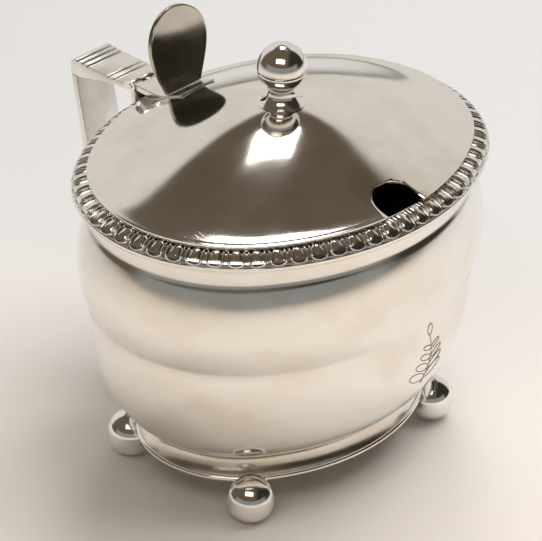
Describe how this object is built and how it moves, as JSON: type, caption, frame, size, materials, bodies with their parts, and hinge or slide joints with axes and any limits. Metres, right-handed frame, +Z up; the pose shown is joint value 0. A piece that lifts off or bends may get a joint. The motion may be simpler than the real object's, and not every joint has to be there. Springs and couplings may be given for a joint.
{
  "type": "covered table pot",
  "caption": "Oval silver table pot on ball feet, with a gadroon rim, a strap handle, and a hinged domed lid with thumbpiece, ball finial and spoon notch.",
  "frame": {"origin": "middle of the whole pot's bounding box, on the plane that its four ball feet stand on", "axes": "+Z up; +X from the handle and hinge towards the spoon notch, along the oval's short axis; Y along the oval's long axis"},
  "size_m": [0.0952, 0.092, 0.093],
  "materials": {
    "silver_body": "polished silver sheet with fine scratches and a faint warm tarnish",
    "silver_trim": "bright cast and drawn silver, darkened in its recesses",
    "silver_hidden": "duller silver inside and underneath"
  },
  "bodies": {
    "pot": {"bowl_shell": "silver_body", "base_plate": "silver_hidden", "gadroon_border": "silver_trim", "mouth_bezel": "silver_hidden", "foot_collar": "silver_body", "collar_edge_wire": "silver_trim", "ball_foot_notch_left": "silver_trim", "ball_foot_notch_right": "silver_trim", "ball_foot_handle_left": "silver_trim", "ball_foot_handle_right": "silver_trim", "hinge_upright": "silver_body", "handle_top_bar": "silver_body", "handle_leg": "silver_body", "handle_pad": "silver_body", "outer_knuckle_left": "silver_trim", "outer_knuckle_right": "silver_trim", "hinge_pin": "silver_hidden"},
    "lid": {"lid_sheet": "silver_body", "hinge_leaf": "silver_body", "lid_knuckle": "silver_trim", "thumbpiece": "silver_body", "finial_neck": "silver_trim", "finial_ball_lower": "silver_trim", "finial_ball_upper": "silver_trim", "finial_peg": "silver_hidden"}
  },
  "joints": [
    {"name": "lid_hinge", "type": "hinge", "parent": "pot", "child": "lid", "pos_m": [-0.0293, 0, 0.07025], "axis": [0, -1, 0], "range_deg": [0, 105]}
  ]
}
